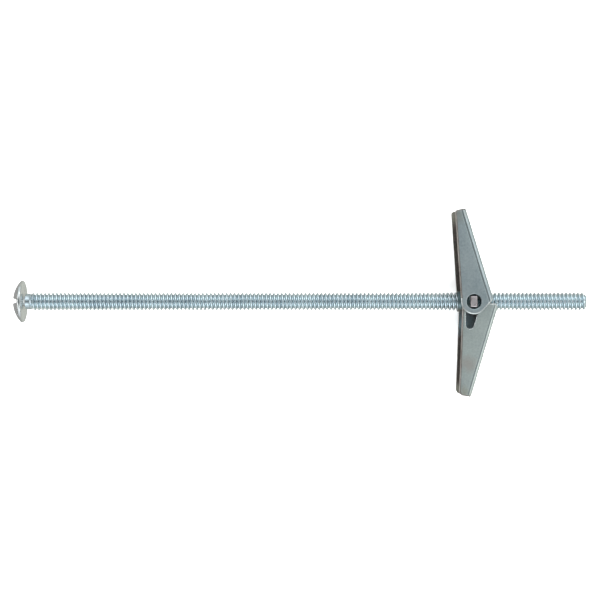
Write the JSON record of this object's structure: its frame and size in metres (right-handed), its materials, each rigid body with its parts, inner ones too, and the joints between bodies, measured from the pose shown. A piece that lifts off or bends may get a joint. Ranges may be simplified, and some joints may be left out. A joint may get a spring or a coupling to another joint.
{
  "type": "spring toggle bolt",
  "caption": "Slotted round-head machine screw with a threaded trunnion nut and two spring-opened channel wings that fold to pass through a hole in a hollow wall.",
  "frame": {"origin": "centre of the head's bearing face, on the screw's axis", "axes": "+X along the screw from the head to its free end; +Z along the wings' pivot, up from the surface that the part lies on; +Y along the open outer wing"},
  "size_m": [0.1535, 0.0502, 0.0112],
  "materials": {
    "screw_zinc": "bright blue-white zinc plate",
    "nut_zinc": "dull zinc plate, sheared ends",
    "wing_zinc": "dull blue-grey zinc plate on folded sheet",
    "spring_steel": "drawn spring wire"
  },
  "bodies": {
    "screw": {"machine_screw": "screw_zinc"},
    "nut": {"trunnion_nut": "nut_zinc", "wing_spring": "spring_steel"},
    "outer_wing": {"outer_wing": "wing_zinc"},
    "inner_wing": {"inner_wing": "wing_zinc"}
  },
  "joints": [
    {"name": "nut_travel", "type": "slide", "parent": "screw", "child": "nut", "axis": [1, 0, 0], "range_m": [-0.0935, 0.029]},
    {"name": "outer_wing_fold", "type": "hinge", "parent": "nut", "child": "outer_wing", "pos_m": [0.12, 0, 0], "axis": [0, 0, 1], "range_deg": [0, 76], "stiffness_Nm_per_rad": 0.005, "springref_deg": -20.05, "deforming": ["wing_spring"]},
    {"name": "inner_wing_fold", "type": "hinge", "parent": "nut", "child": "inner_wing", "pos_m": [0.12, 0, 0], "axis": [0, 0, -1], "range_deg": [0, 79], "stiffness_Nm_per_rad": 0.005, "springref_deg": -20.05, "deforming": ["wing_spring"]}
  ]
}
